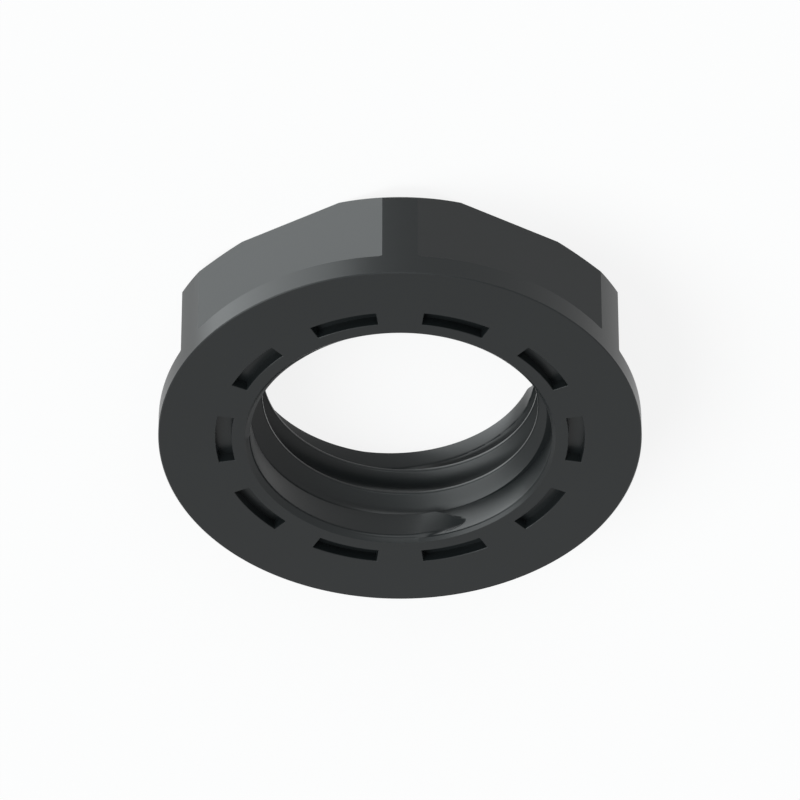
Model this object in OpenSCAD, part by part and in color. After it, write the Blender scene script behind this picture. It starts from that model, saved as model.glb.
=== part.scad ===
// Cable gland locknut: a flat hexagon nut with a round collar, moulded in one piece.
// The hexagon end stands on z = 0, the collar's seating face is on top, and the bore is on the Z axis.
// Lengths are in millimetres. The bore is cut to the thread's inner diameter.

/* [Body] */
// height of the whole nut, from the hexagon end to the seating face
total_height = 5; // [4:0.1:9]
// distance between two opposite flats of the hexagon
across_flats = 18; // [17:0.1:18.6]
// outer diameter of the collar, which also rounds the hexagon's corners
collar_diameter = 20; // [19.6:0.1:22]
// thickness of the collar at its rim
collar_thickness = 1; // [0.6:0.1:1.8]

/* [End chamfer] */
// diameter of the circle on the end face where the chamfer of the hexagon's corners starts
chamfer_circle = 18.5; // [18.2:0.1:19]
// slope of that chamfer, measured from the end face
chamfer_angle = 45; // [25:1:55]

/* [Bore] */
// diameter of the bore over the crests of the thread
bore_diameter = 11.5; // [10.5:0.1:12]
// diameter of the smooth entry at the seating face, the nominal size of the thread
entry_diameter = 12.5; // [12.2:0.1:12.6]
// depth of the smooth entry below the seating face
entry_depth = 1.6; // [0.8:0.1:2.2]
// height and width of the 45 degree edge between the entry and the seating face
entry_edge = 0.15; // [0.05:0.05:0.25]
// slope of the thread's flanks, at which the entry narrows to the bore
flank_angle = 30; // [20:1:45]
// diameter of the bore's mouth on the hexagon end, where the thread runs out
mouth_diameter = 12.8; // [12.1:0.1:13.2]

/* [Pockets] */
// number of pockets in the seating face
pocket_count = 10; // [6:1:12]
// radius of the circle that the pockets are centred on
pocket_radius = 7.3; // [7:0.05:7.8]
// width of a pocket across that circle
pocket_width = 0.75; // [0.4:0.05:1]
// angle that one pocket spans
pocket_angle = 22; // [12:1:26]
// depth of a pocket
pocket_depth = 0.45; // [0.2:0.05:1.5]

/* [Hidden] */
$fn = 96;

// extra length of a cutting body beyond the face that it cuts
overrun = 1;
collar_base = total_height - collar_thickness;
entry_floor = total_height - entry_depth;
// rise of the end chamfer between its circle and the collar's diameter
chamfer_rise = (collar_diameter - chamfer_circle) / 2 * tan(chamfer_angle);
// height over which the entry narrows to the bore
entry_taper = (entry_diameter - bore_diameter) / 2 * tan(flank_angle);
// radial step of the mouth, cut at 45 degrees
mouth_step = (mouth_diameter - bore_diameter) / 2;
pocket_inner = pocket_radius - pocket_width / 2;
pocket_pitch = 360 / pocket_count;

// circumscribed hexagon with a corner towards -Y
module hexagon() {
    rotate(90)
        circle(d = across_flats / cos(30), $fn = 6);
}

// the wrench end: hexagon, corners rounded by the collar's cylinder and chamfered at the end face
module wrench_end() {
    intersection() {
        linear_extrude(height = collar_base)
            hexagon();
        rotate_extrude()
            polygon([
                [0, 0],
                [chamfer_circle / 2, 0],
                [collar_diameter / 2, chamfer_rise],
                [collar_diameter / 2, collar_base],
                [0, collar_base]
            ]);
    }
}

module collar() {
    translate([0, 0, collar_base])
        cylinder(d = collar_diameter, h = collar_thickness);
}

// the countersunk mouth below, the thread's crest diameter, and the smooth entry with its edge on top
module bore() {
    rotate_extrude()
        polygon([
            [0, -overrun],
            [mouth_diameter / 2, -overrun],
            [mouth_diameter / 2, 0],
            [bore_diameter / 2, mouth_step],
            [bore_diameter / 2, entry_floor - entry_taper],
            [entry_diameter / 2, entry_floor],
            [entry_diameter / 2, total_height - entry_edge],
            [entry_diameter / 2 + entry_edge, total_height],
            [entry_diameter / 2 + entry_edge, total_height + overrun],
            [0, total_height + overrun]
        ]);
}

// one pocket: a short arc sunk into the seating face, centred on +X
module pocket() {
    translate([0, 0, total_height - pocket_depth])
        rotate(-pocket_angle / 2)
            rotate_extrude(angle = pocket_angle)
                translate([pocket_inner, 0])
                    square([pocket_width, pocket_depth + overrun]);
}

module locknut() {
    color([0.12, 0.13, 0.13])
        difference() {
            union() {
                wrench_end();
                collar();
            }
            bore();
            for (i = [0 : pocket_count - 1])
                rotate(i * pocket_pitch)
                    pocket();
        }
}

locknut();
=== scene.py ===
import math

import bmesh
import bpy
from mathutils import Matrix, Vector


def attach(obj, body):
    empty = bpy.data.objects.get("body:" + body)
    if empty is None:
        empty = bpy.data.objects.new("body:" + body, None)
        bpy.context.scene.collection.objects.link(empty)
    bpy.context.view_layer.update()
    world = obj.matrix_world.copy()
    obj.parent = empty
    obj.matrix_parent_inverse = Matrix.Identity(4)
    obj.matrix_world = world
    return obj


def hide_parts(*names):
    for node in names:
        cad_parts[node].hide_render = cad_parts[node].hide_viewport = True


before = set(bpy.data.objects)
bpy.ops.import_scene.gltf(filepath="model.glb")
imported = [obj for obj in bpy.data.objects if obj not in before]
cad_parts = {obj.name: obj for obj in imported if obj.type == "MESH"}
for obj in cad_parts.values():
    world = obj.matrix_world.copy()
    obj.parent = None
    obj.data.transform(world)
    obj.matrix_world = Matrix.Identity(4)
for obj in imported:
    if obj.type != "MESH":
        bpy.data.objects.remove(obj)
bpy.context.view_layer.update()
bpy.context.scene.view_settings.view_transform = "Standard"

# Sizes in millimetres and degrees. The hexagon end is at height 0, the seating face at HEIGHT.
# A depth is measured from the seating face into the bore.
MM = 0.001
HEIGHT = 5.0
COLLAR_R = 10.0
COLLAR_BASE = 4.0
FLAT_R = 9.0
CHAMFER_CIRCLE_R = 9.25
EDGE_BREAK = 0.04
END_MOUTH_R = 6.40
ENTRY_MOUTH_R = 6.44
ENTRY_EDGE = 0.12
ENTRY_DEPTH = 1.60
POCKETS = 10
POCKET_IN_R = 6.97
POCKET_OUT_R = 7.64
POCKET_HALF_ANGLE = 10.6
POCKET_BREAK = 0.02
POCKET_DEPTH = 0.45
POCKET_DRAFT = 0.02
PITCH = 1.27
FIRST_CREST_DEPTH = 0.925
CREST_WIDTH = 0.14
FLANK_ANGLE = 30.0
NOSE_AZIMUTH = 64.3

# Radius at which the bore's rows are laid out before the nodes move them
RAW_BORE_R = 6.0
# Columns stand every degree, and closer where the land's nose is
FINE_FROM = 94
FINE_STEP = 0.25
FINE_STEPS = 108
COLUMN_CLEARANCE = 0.12
# Rows of the entry: close together at its edge, then even
ENTRY_EDGE_ROWS = (0, 0.015, 0.03, 0.05, 0.07)
ENTRY_ROWS = 40
# Rows of the thread at these distances to either side of a crest, closest where it is rounded
RIDGE_ROWS = (0, 0.015, 0.03, 0.045, 0.06, 0.075, 0.09, 0.11, 0.14, 0.18,
              0.22, 0.26, 0.3, 0.34, 0.38, 0.42, 0.46, 0.5, 0.54, 0.58)
ZONES = ("entry", "thread")
WELD = 0.001
SLIVER = 0.0005
# An edge turning more than this many degrees stays sharp
SHARP_ANGLE = 22

TABLE_SIZE = 4000.0
CAMERA_ELEVATION = 42.755
CAMERA_TARGET_HEIGHT = 2.776
CAMERA_DISTANCE = 348.49
CAMERA_LENS = 377.5
CAMERA_SENSOR = 36.0


def linear(hex_colour):
    """An sRGB hex colour as linear red, green, blue and alpha."""
    parts = [int(hex_colour[i:i + 2], 16) / 255 for i in (1, 3, 5)]
    return [c / 12.92 if c <= 0.04045 else ((c + 0.055) / 1.055) ** 2.4 for c in parts] + [1.0]


def add(tree, kind, inputs=None, **settings):
    """Adds a node with its settings; inputs go by name or number, each a value or a socket to link."""
    node = tree.nodes.new(kind)
    for name, value in settings.items():
        setattr(node, name, value)
    for key, value in (inputs or {}).items():
        if isinstance(value, bpy.types.NodeSocket):
            tree.links.new(value, node.inputs[key])
        else:
            node.inputs[key].default_value = value
    return node


# Material
def moulded_polyamide():
    """Black polyamide 6, injection moulded in a smooth steel tool: near black with a cool cast, a satin
    sheen that spreads a lamp wide, and a faint cloudiness where the melt froze at different speeds.
    Its shine is set to about half of what its index gives, which is a choice for the look."""
    material = bpy.data.materials.new("moulded_polyamide")
    material.use_nodes = True
    tree = material.node_tree
    tree.nodes.clear()
    place = add(tree, "ShaderNodeTexCoord").outputs["Object"]
    # flow clouds about 4 mm across
    clouds = add(tree, "ShaderNodeTexNoise", {"Vector": place, "Scale": 1 / (4 * MM), "Detail": 2.0})
    # the tool's fine spark-eroded grain, about 0.06 mm across
    grain = add(tree, "ShaderNodeTexNoise", {"Vector": place, "Scale": 1 / (0.06 * MM), "Detail": 1.0})
    tint = add(tree, "ShaderNodeMix", {
        "Factor": clouds.outputs["Fac"], 6: linear("#171a1b"), 7: linear("#1a1e1f"),
    }, data_type="RGBA")
    gloss = add(tree, "ShaderNodeMapRange", {
        "Value": clouds.outputs["Fac"], "To Min": 0.31, "To Max": 0.35,
    })
    relief = add(tree, "ShaderNodeBump", {
        "Height": grain.outputs["Fac"], "Strength": 0.04, "Distance": 0.01 * MM,
    })
    skin = add(tree, "ShaderNodeBsdfPrincipled", {
        "Base Color": tint.outputs[2], "Roughness": gloss.outputs["Result"],
        "Normal": relief.outputs["Normal"], "IOR": 1.53, "Specular IOR Level": 0.25,
    })
    add(tree, "ShaderNodeOutputMaterial", {"Surface": skin.outputs["BSDF"]})
    return material


# The nut: columns of points round the axis
def column_azimuths():
    """Azimuths of the columns: even steps, with exact ones at every corner of the outline and pockets."""
    round_half = 30 - math.degrees(math.acos(FLAT_R / COLLAR_R))
    chamfer_half = math.degrees(math.acos(FLAT_R / CHAMFER_CIRCLE_R))
    break_half = math.degrees(math.acos(FLAT_R / (CHAMFER_CIRCLE_R + EDGE_BREAK)))
    exact = [0.0]
    for k in range(6):
        exact += [60 * k + s * a for s in (-1, 1) for a in (30 - round_half, chamfer_half, break_half)]
    step = math.degrees(POCKET_BREAK / POCKET_OUT_R)
    draft = math.degrees(POCKET_DRAFT / POCKET_OUT_R)
    for k in range(POCKETS):
        middle = 360 / POCKETS * k
        exact += [middle + s * (POCKET_HALF_ANGLE + a) for s in (-1, 1) for a in (-draft, 0, step)]
    exact = sorted(set(round(a % 360, 9) for a in exact))
    even = [1.0 * k for k in range(360)]
    even += [FINE_FROM + FINE_STEP * k for k in range(FINE_STEPS) if k % 4]

    def crowded(azimuth):
        return min(abs((azimuth - b + 180) % 360 - 180) for b in exact) < COLUMN_CLEARANCE

    return sorted(exact + [a for a in even if not crowded(a)])


def outline_radius(azimuth):
    """Radius of the wrench end: the hexagon, rounded at its corners by the collar's cylinder."""
    from_flat = (azimuth + 30) % 60 - 30
    return min(COLLAR_R, FLAT_R / math.cos(math.radians(from_flat)))


def face_height(radius_step, azimuth):
    """Height of the seating face at one of the pocket rings (0 to 5, from inside out) at an azimuth."""
    away = abs((azimuth + 180 / POCKETS) % (360 / POCKETS) - 180 / POCKETS)
    draft = math.degrees(POCKET_DRAFT / POCKET_OUT_R)
    if away > POCKET_HALF_ANGLE + 1e-6 or radius_step in (0, 5):
        return HEIGHT
    if away > POCKET_HALF_ANGLE - draft / 2 or radius_step in (1, 4):
        return HEIGHT - POCKET_BREAK
    return HEIGHT - POCKET_DEPTH


def body_column(azimuth):
    """Points (radius, height) of the moulded body from the bore's mouth out, down and in to the bore."""
    rings = (POCKET_IN_R - POCKET_BREAK, POCKET_IN_R, POCKET_IN_R + POCKET_DRAFT,
             POCKET_OUT_R - POCKET_DRAFT, POCKET_OUT_R, POCKET_OUT_R + POCKET_BREAK)
    outline = outline_radius(azimuth)
    under = min(EDGE_BREAK, COLLAR_R - outline)
    chamfer = max(outline - CHAMFER_CIRCLE_R, EDGE_BREAK)
    return (
        [(ENTRY_MOUTH_R, HEIGHT)]
        + [(r, face_height(i, azimuth)) for i, r in enumerate(rings)]
        + [(COLLAR_R - EDGE_BREAK, HEIGHT), (COLLAR_R, HEIGHT - EDGE_BREAK),
           (COLLAR_R, COLLAR_BASE + under), (COLLAR_R - under, COLLAR_BASE),
           (outline, COLLAR_BASE), (outline, chamfer), (outline - chamfer, 0.0), (RAW_BORE_R, 0.0)]
    )


def thread_depths(azimuth):
    """Depths of the bore's rows below the entry. They follow the helix, and close up at both ends."""
    across = [-d for d in reversed(RIDGE_ROWS[1:])] + list(RIDGE_ROWS) + [PITCH / 2]
    start = FIRST_CREST_DEPTH + PITCH * (90 - azimuth) / 360
    rows = []
    for turn in range(-1, 5):
        rows += [start + PITCH * turn + d for d in across]
    return [min(max(d, ENTRY_DEPTH), HEIGHT) for d in rows]


def strip(bm, columns, flags, closed):
    """Faces between neighbouring columns of points (azimuth, [(radius, height)]), each flagged."""
    floats = bm.verts.layers.float
    layer = {name: floats.get(name) or floats.new(name) for name in ZONES}
    rows = []
    for azimuth, points in columns:
        a = math.radians(azimuth)
        rows.append([bm.verts.new((r * MM * math.cos(a), r * MM * math.sin(a), h * MM)) for r, h in points])
        for i, vertex in enumerate(rows[-1]):
            for name in ZONES:
                vertex[layer[name]] = float(flags(i, len(points)) == name)
    pairs = list(zip(rows, rows[1:])) + ([(rows[-1], rows[0])] if closed else [])
    for one, two in pairs:
        for i in range(len(one) - 1):
            bm.faces.new((one[i], two[i], two[i + 1], one[i + 1]))


def raw_nut():
    """The nut's surface before the bore gets its form: the body, the smooth entry and the threaded length."""
    azimuths = column_azimuths()
    bm = bmesh.new()
    strip(bm, [(a, body_column(a)) for a in azimuths],
          lambda i, n: "thread" if i == n - 1 else "", True)
    depths = [ENTRY_EDGE + d for d in ENTRY_EDGE_ROWS]
    depths += [depths[-1] + (ENTRY_DEPTH - depths[-1]) * i / ENTRY_ROWS for i in range(1, ENTRY_ROWS + 1)]
    entry = [(ENTRY_MOUTH_R, HEIGHT)] + [(RAW_BORE_R, HEIGHT - d) for d in depths + [ENTRY_DEPTH]]
    strip(bm, [(a, entry) for a in azimuths],
          lambda i, n: "" if i == 0 else "thread" if i == n - 1 else "entry", True)
    strip(bm, [(a, [(RAW_BORE_R, HEIGHT - d) for d in thread_depths(a)]) for a in azimuths + [360.0]],
          lambda i, n: "thread", False)
    mesh = bpy.data.meshes.new("locknut_raw")
    bm.to_mesh(mesh)
    bm.free()
    nut = bpy.data.objects.new("locknut_raw", mesh)
    bpy.context.scene.collection.objects.link(nut)
    return nut


def bore_tree(material):
    """Geometry nodes that give the bore its radius everywhere: the ridge of the thread on its helix with its
    run-out at the hexagon end, and the entry with its raised land, which begins in a rounded nose."""
    tree = bpy.data.node_groups.new("threaded_bore", "GeometryNodeTree")
    tree.interface.new_socket("Geometry", in_out="INPUT", socket_type="NodeSocketGeometry")
    sizes = {
        "Nut height": HEIGHT, "Pitch": PITCH, "First crest depth": FIRST_CREST_DEPTH,
        "Crest radius": 5.72, "Root radius": 6.50, "Crest width": CREST_WIDTH, "Flank angle": FLANK_ANGLE,
        "Crest rounding": 0.09, "Root rounding": 0.45,
        "Run-out start": 1089.0, "Run-out length": 95.0, "Fill speed": 5.0,
        "End mouth radius": END_MOUTH_R, "End taper": 0.06, "End curve": 0.14,
        "Entry edge": ENTRY_EDGE, "Entry depth": ENTRY_DEPTH, "Land radius": 6.2,
        "Land shoulder": 0.05, "Land end": 1.49, "Lip height": 0.06, "Lip slope": 0.45,
        "Nose azimuth": NOSE_AZIMUTH, "Nose length": 14.1, "Nose depth": 0.75, "Nose limit": 1.5,
        "Nose rise": 0.85, "Nose rise power": 0.8, "Nose fall": 0.6, "Nose fall power": 0.3,
        "Nose sink": 0.16, "Nose sink share": 1.25, "Nose sink power": 2.0,
        "Nose twist": 0.28, "Nose twist power": 1.4,
        "Step width": 0.09, "Soft step width": 0.2,
        "Recess mouth radius": 6.28, "Recess floor radius": 6.42,
        "Recess end": -100.0, "Recess end length": 30.0,
    }
    for name, size in sizes.items():
        socket = tree.interface.new_socket(name, in_out="INPUT", socket_type="NodeSocketFloat")
        socket.default_value = size
    tree.interface.new_socket("Geometry", in_out="OUTPUT", socket_type="NodeSocketGeometry")
    given = add(tree, "NodeGroupInput")
    position = add(tree, "GeometryNodeInputPosition").outputs[0]
    xyz = add(tree, "ShaderNodeSeparateXYZ", {0: position})
    value = {name: given.outputs[name] for name in sizes}
    value.update(x=xyz.outputs[0], y=xyz.outputs[1], z=xyz.outputs[2])
    rule = (
        # where the point lies: azimuth from the right of the photograph, depth below the seating face
        ("mirrored x", "MULTIPLY", "x", -1.0),
        ("angle", "ARCTAN2", "y", "mirrored x"),
        ("azimuth", "DEGREES", "angle"),
        ("height", "MULTIPLY", "z", 1 / MM),
        ("depth", "SUBTRACT", "Nut height", "height"),
        # distance from the nearest turn of the crest, along the axis
        ("below first", "SUBTRACT", "depth", "First crest depth"),
        ("pitches", "DIVIDE", "below first", "Pitch"),
        ("from far side", "SUBTRACT", "azimuth", 90.0),
        ("part turn", "DIVIDE", "from far side", 360.0),
        ("phase", "SUBTRACT", "pitches", "part turn"),
        ("turn", "ROUND", "phase"),
        ("off phase", "SUBTRACT", "phase", "turn"),
        ("off share", "ABSOLUTE", "off phase"),
        ("off full", "MULTIPLY", "off share", "Pitch"),
        # where the ridge runs out it fills up towards the hexagon end
        ("whole turns", "MULTIPLY", "turn", 360.0),
        ("wound", "ADD", "azimuth", "whole turns"),
        ("past start", "SUBTRACT", "wound", "Run-out start"),
        ("run-out raw", "DIVIDE", "past start", "Run-out length"),
        ("run-out low", "MAXIMUM", "run-out raw", 0.0),
        ("run-out", "MINIMUM", "run-out low", 1.0),
        ("fill fast", "MULTIPLY", "run-out", "Fill speed"),
        ("fill", "MINIMUM", "fill fast", 1.0),
        ("end side", "GREATER_THAN", "off phase", 0.0),
        ("filled", "MULTIPLY", "fill", "end side"),
        ("left open", "SUBTRACT", 1.0, "filled"),
        ("off crest", "MULTIPLY", "off full", "left open"),
        # the ridge: straight flanks, a narrow crest that runs out, and a rounded root
        ("half crest", "MULTIPLY", "Crest width", 0.5),
        ("down flank", "SUBTRACT", "off crest", "half crest"),
        ("flank", "RADIANS", "Flank angle"),
        ("flank slope", "TANGENT", "flank"),
        ("flank step", "DIVIDE", "down flank", "flank slope"),
        ("flank radius", "ADD", "Crest radius", "flank step"),
        ("to end mouth", "SUBTRACT", "End mouth radius", "Crest radius"),
        ("worn", "MULTIPLY", "to end mouth", "run-out"),
        ("worn crest", "ADD", "Crest radius", "worn"),
        ("from end", "MULTIPLY", "height", "fill"),
        ("end slope", "MULTIPLY", "from end", "End taper"),
        ("from end squared", "MULTIPLY", "from end", "from end"),
        ("end bow", "MULTIPLY", "from end squared", "End curve"),
        ("sloped crest", "ADD", "worn crest", "end slope"),
        ("crest here", "ADD", "sloped crest", "end bow"),
        ("groove", "SMOOTH_MIN", "flank radius", "Root radius", "Root rounding"),
        ("ridge", "SMOOTH_MAX", "groove", "crest here", "Crest rounding"),
        ("thread", "MINIMUM", "ridge", "Root radius"),
        # the entry's recess, wider towards its floor
        ("past edge", "SUBTRACT", "depth", "Entry edge"),
        ("entry length", "SUBTRACT", "Entry depth", "Entry edge"),
        ("entry share", "DIVIDE", "past edge", "entry length"),
        ("quarter", "MULTIPLY", "entry share", math.pi / 2),
        ("bulge", "SINE", "quarter"),
        ("recess step", "SUBTRACT", "Recess floor radius", "Recess mouth radius"),
        ("recess part", "MULTIPLY", "recess step", "bulge"),
        ("recess wall", "ADD", "Recess mouth radius", "recess part"),
        # a small lip leads from the recess to the entry's edge
        ("lip left", "SUBTRACT", "Lip height", "past edge"),
        ("lip low", "MAXIMUM", "lip left", 0.0),
        ("lip", "MULTIPLY", "lip low", "Lip slope"),
        ("recess", "ADD", "recess wall", "lip"),
        # the raised land: its nose widens from a tip, softer towards the seating face than away from it,
        # and near the tip the land sinks into the recess
        ("past tip", "SUBTRACT", "azimuth", "Nose azimuth"),
        ("nose raw", "DIVIDE", "past tip", "Nose length"),
        ("nose low", "MAXIMUM", "nose raw", 0.0),
        ("nose", "MINIMUM", "nose low", "Nose limit"),
        ("rise share", "POWER", "nose", "Nose rise power"),
        ("fall share", "POWER", "nose", "Nose fall power"),
        ("rise", "MULTIPLY", "Nose rise", "rise share"),
        ("fall", "MULTIPLY", "Nose fall", "fall share"),
        ("off line", "SUBTRACT", "depth", "Nose depth"),
        ("is below", "GREATER_THAN", "off line", 0.0),
        ("more rise", "SUBTRACT", "rise", "fall"),
        ("rise used", "MULTIPLY", "more rise", "is below"),
        ("half nose", "ADD", "fall", "rise used"),
        ("off nose", "ABSOLUTE", "off line"),
        ("inside", "SUBTRACT", "half nose", "off nose"),
        ("is above", "SUBTRACT", 1.0, "is below"),
        ("soft part", "MULTIPLY", "is above", "Soft step width"),
        ("sharp part", "MULTIPLY", "is below", "Step width"),
        ("step here", "ADD", "soft part", "sharp part"),
        ("step raw", "DIVIDE", "inside", "step here"),
        ("step low", "MAXIMUM", "step raw", 0.0),
        ("step", "MINIMUM", "step low", 1.0),
        ("step squared", "MULTIPLY", "step", "step"),
        ("step doubled", "MULTIPLY", "step", 2.0),
        ("step rest", "SUBTRACT", 3.0, "step doubled"),
        ("on nose", "MULTIPLY", "step squared", "step rest"),
        ("past recess", "SUBTRACT", "Recess end", "azimuth"),
        ("end raw", "DIVIDE", "past recess", "Recess end length"),
        ("end low", "MAXIMUM", "end raw", 0.0),
        ("past end", "MINIMUM", "end low", 1.0),
        ("on land", "MAXIMUM", "on nose", "past end"),
        ("nose left", "SUBTRACT", "Nose sink share", "nose"),
        ("nose sunk", "MAXIMUM", "nose left", 0.0),
        ("nose curve", "POWER", "nose sunk", "Nose sink power"),
        ("visible side", "GREATER_THAN", "azimuth", 0.0),
        ("sink used", "MULTIPLY", "nose curve", "visible side"),
        ("sink", "MULTIPLY", "sink used", "Nose sink"),
        ("twist curve", "POWER", "nose sunk", "Nose twist power"),
        ("twist used", "MULTIPLY", "twist curve", "visible side"),
        ("twist", "MULTIPLY", "twist used", "Nose twist"),
        ("twisted", "MULTIPLY", "twist", "off line"),
        ("land flat", "ADD", "Land radius", "sink"),
        ("land", "SUBTRACT", "land flat", "twisted"),
        ("land less recess", "SUBTRACT", "land", "recess"),
        # the land starts with a small shoulder under the entry's edge
        ("shoulder raw", "DIVIDE", "past edge", "Land shoulder"),
        ("shoulder low", "MAXIMUM", "shoulder raw", 0.0),
        ("shoulder", "MINIMUM", "shoulder low", 1.0),
        ("land rise", "MULTIPLY", "land less recess", "shoulder"),
        # and ends above the thread
        ("before end", "SUBTRACT", "Land end", "depth"),
        ("before end share", "DIVIDE", "before end", "Step width"),
        ("land end low", "MAXIMUM", "before end share", 0.0),
        ("land end", "MINIMUM", "land end low", 1.0),
        ("land kept", "MULTIPLY", "land rise", "land end"),
        ("land part", "MULTIPLY", "land kept", "on land"),
        ("entry", "ADD", "recess", "land part"),
        # from a radius to a factor on x and y
        ("x squared", "MULTIPLY", "x", "x"),
        ("y squared", "MULTIPLY", "y", "y"),
        ("squares", "ADD", "x squared", "y squared"),
        ("old radius", "SQRT", "squares"),
        ("thread metres", "MULTIPLY", "thread", MM),
        ("entry metres", "MULTIPLY", "entry", MM),
        ("thread factor", "DIVIDE", "thread metres", "old radius"),
        ("entry factor", "DIVIDE", "entry metres", "old radius"),
    )
    for name, operation, *operands in rule:
        operands = [value[o] if isinstance(o, str) else o for o in operands]
        value[name] = add(tree, "ShaderNodeMath", dict(enumerate(operands)), operation=operation).outputs[0]
    chosen = {}
    for zone in ZONES:
        mark = add(tree, "GeometryNodeInputNamedAttribute", {"Name": zone}, data_type="FLOAT")
        marked = add(tree, "FunctionNodeCompare", {0: mark.outputs[0], 1: 0.5}, operation="GREATER_THAN")
        chosen[zone] = marked.outputs[0]
    factor = add(tree, "GeometryNodeSwitch", {
        "Switch": chosen["thread"], "False": value["entry factor"], "True": value["thread factor"],
    }, input_type="FLOAT").outputs[0]
    new_x = add(tree, "ShaderNodeMath", {0: value["x"], 1: factor}, operation="MULTIPLY").outputs[0]
    new_y = add(tree, "ShaderNodeMath", {0: value["y"], 1: factor}, operation="MULTIPLY").outputs[0]
    place = add(tree, "ShaderNodeCombineXYZ", {0: new_x, 1: new_y, 2: value["z"]}).outputs[0]
    either = add(tree, "FunctionNodeBooleanMath", {
        0: chosen["entry"], 1: chosen["thread"],
    }, operation="OR").outputs[0]
    bored = add(tree, "GeometryNodeSetPosition", {
        "Geometry": given.outputs["Geometry"], "Selection": either, "Position": place,
    })
    merged = add(tree, "GeometryNodeMergeByDistance", {"Geometry": bored.outputs[0], "Distance": WELD * MM})
    solid = add(tree, "GeometryNodeRealizeInstances", {"Geometry": merged.outputs[0]})
    dressed = add(tree, "GeometryNodeSetMaterial", {"Geometry": solid.outputs[0], "Material": material})
    add(tree, "NodeGroupOutput", {"Geometry": dressed.outputs[0]})
    return tree


def finished_nut(material):
    """The bored nut as one plain mesh: doubles gone, faces outward, smooth but for its real edges."""
    raw = raw_nut()
    raw.modifiers.new("threaded_bore", "NODES").node_group = bore_tree(material)
    bpy.context.view_layer.update()
    shaped = raw.evaluated_get(bpy.context.evaluated_depsgraph_get())
    mesh = bpy.data.meshes.new_from_object(shaped)
    bpy.data.objects.remove(raw)
    bm = bmesh.new()
    bm.from_mesh(mesh)
    bmesh.ops.remove_doubles(bm, verts=bm.verts, dist=WELD * MM)
    bmesh.ops.dissolve_degenerate(bm, edges=bm.edges, dist=SLIVER * MM)
    bmesh.ops.recalc_face_normals(bm, faces=bm.faces)
    for name in ZONES:
        layer = bm.verts.layers.float.get(name)
        if layer:
            bm.verts.layers.float.remove(layer)
    for face in bm.faces:
        face.smooth = True
    for edge in bm.edges:
        edge.smooth = not edge.is_manifold or edge.calc_face_angle(0.0) < math.radians(SHARP_ANGLE)
    bm.to_mesh(mesh)
    bm.free()
    mesh.name = "locknut_moulding"
    nut = bpy.data.objects.new("locknut_moulding", mesh)
    bpy.context.scene.collection.objects.link(nut)
    return nut


# Stage, light and camera
def shown_rays(tree):
    """A factor that is 1 for the rays that see the background: from the camera, gloss and clear things."""
    rays = add(tree, "ShaderNodeLightPath")
    straight = add(tree, "ShaderNodeMath", {
        0: rays.outputs["Is Camera Ray"], 1: rays.outputs["Is Transmission Ray"],
    }, operation="MAXIMUM")
    shown = add(tree, "ShaderNodeMath", {
        0: straight.outputs[0], 1: rays.outputs["Is Glossy Ray"],
    }, operation="MAXIMUM")
    return shown.outputs[0]


def pale_table():
    """A pale table like a photographer's light table: the lamp below it shines through to the nut."""
    bpy.ops.mesh.primitive_plane_add(size=TABLE_SIZE * MM, location=(0, 0, 0))
    table = bpy.context.object
    table.name = "table"
    material = bpy.data.materials.new("opal_acrylic")
    material.use_nodes = True
    tree = material.node_tree
    tree.nodes.clear()
    plain = add(tree, "ShaderNodeBsdfDiffuse", {"Color": linear("#e6e6e6")})
    seen = add(tree, "ShaderNodeBsdfDiffuse", {"Color": [0.16, 0.16, 0.16, 1.0]})
    glow = add(tree, "ShaderNodeEmission", {"Color": [1.0, 1.0, 1.0, 1.0], "Strength": 0.86})
    white = add(tree, "ShaderNodeAddShader", {0: seen.outputs[0], 1: glow.outputs[0]})
    pick = add(tree, "ShaderNodeMixShader", {
        "Fac": shown_rays(tree), 1: plain.outputs[0], 2: white.outputs[0],
    })
    add(tree, "ShaderNodeOutputMaterial", {"Surface": pick.outputs[0]})
    table.data.materials.append(material)
    # the lamp below passes through the table, and gloss sees the white surroundings past it
    table.visible_shadow = False
    table.visible_glossy = False
    return table


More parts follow.
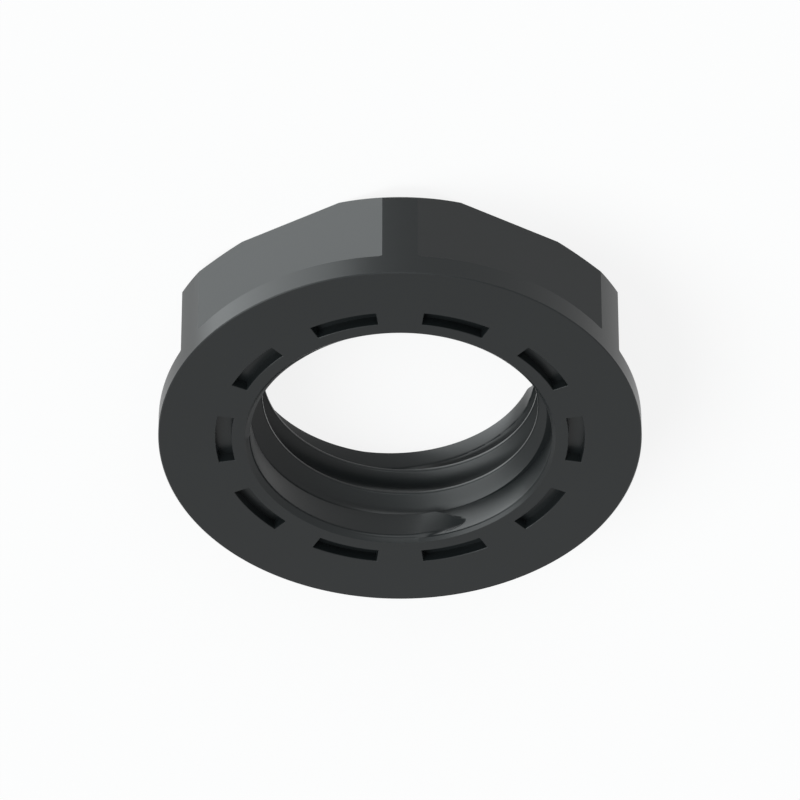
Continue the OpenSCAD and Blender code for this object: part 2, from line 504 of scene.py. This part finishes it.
def surroundings():
    """Dim even light all round, seen as white by the camera, by gloss and through anything clear."""
    world = bpy.data.worlds.new("studio")
    world.use_nodes = True
    tree = world.node_tree
    tree.nodes.clear()
    dim = add(tree, "ShaderNodeBackground", {"Color": linear("#ffffff"), "Strength": 0.15})
    white = add(tree, "ShaderNodeBackground", {"Color": linear("#ffffff"), "Strength": 1.0})
    pick = add(tree, "ShaderNodeMixShader", {
        "Fac": shown_rays(tree), 1: dim.outputs[0], 2: white.outputs[0],
    })
    add(tree, "ShaderNodeOutputWorld", {"Surface": pick.outputs[0]})
    bpy.context.scene.world = world


def softbox(name, azimuth, elevation, spread, strength):
    """A soft lamp far off in a direction, spread degrees wide, of a strength in watts per square metre."""
    lamp = bpy.data.lights.new(name, "SUN")
    lamp.energy = strength
    lamp.angle = math.radians(spread)
    lamp.color = linear("#f8feff")[:3]
    holder = bpy.data.objects.new(name, lamp)
    a, e = math.radians(azimuth), math.radians(elevation)
    towards = Vector((math.cos(a) * math.cos(e), math.sin(a) * math.cos(e), math.sin(e)))
    holder.matrix_world = towards.to_track_quat("Z", "Y").to_matrix().to_4x4()
    bpy.context.scene.collection.objects.link(holder)
    return holder


def photograph_camera():
    """The photograph's camera: above the seating face, on the side of a hexagon corner, and turned half
    round about its own axis, because the photograph shows the nut with the seating face downwards."""
    elevation = math.radians(CAMERA_ELEVATION)
    target = Vector((0, 0, CAMERA_TARGET_HEIGHT * MM))
    back = Vector((0, -math.cos(elevation), math.sin(elevation)))
    up = Vector((0, -math.sin(elevation), -math.cos(elevation)))
    right = up.cross(back)
    lens = bpy.data.cameras.new("photograph")
    lens.sensor_width = CAMERA_SENSOR
    lens.lens = CAMERA_LENS
    lens.clip_start = 0.01
    lens.clip_end = 10.0
    camera = bpy.data.objects.new("photograph", lens)
    turned = Matrix((right, up, back)).transposed().to_4x4()
    camera.matrix_world = Matrix.Translation(target + CAMERA_DISTANCE * MM * back) @ turned
    bpy.context.scene.collection.objects.link(camera)
    bpy.context.scene.camera = camera


nut = finished_nut(moulded_polyamide())
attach(nut, "root")
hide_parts("locknut")

pale_table()
surroundings()
softbox("through_table", -25, -45, 60, 2.5)
softbox("front", -90, 25, 45, 1.0)
softbox("upper_left", -15, 50, 45, 2.0)
photograph_camera()
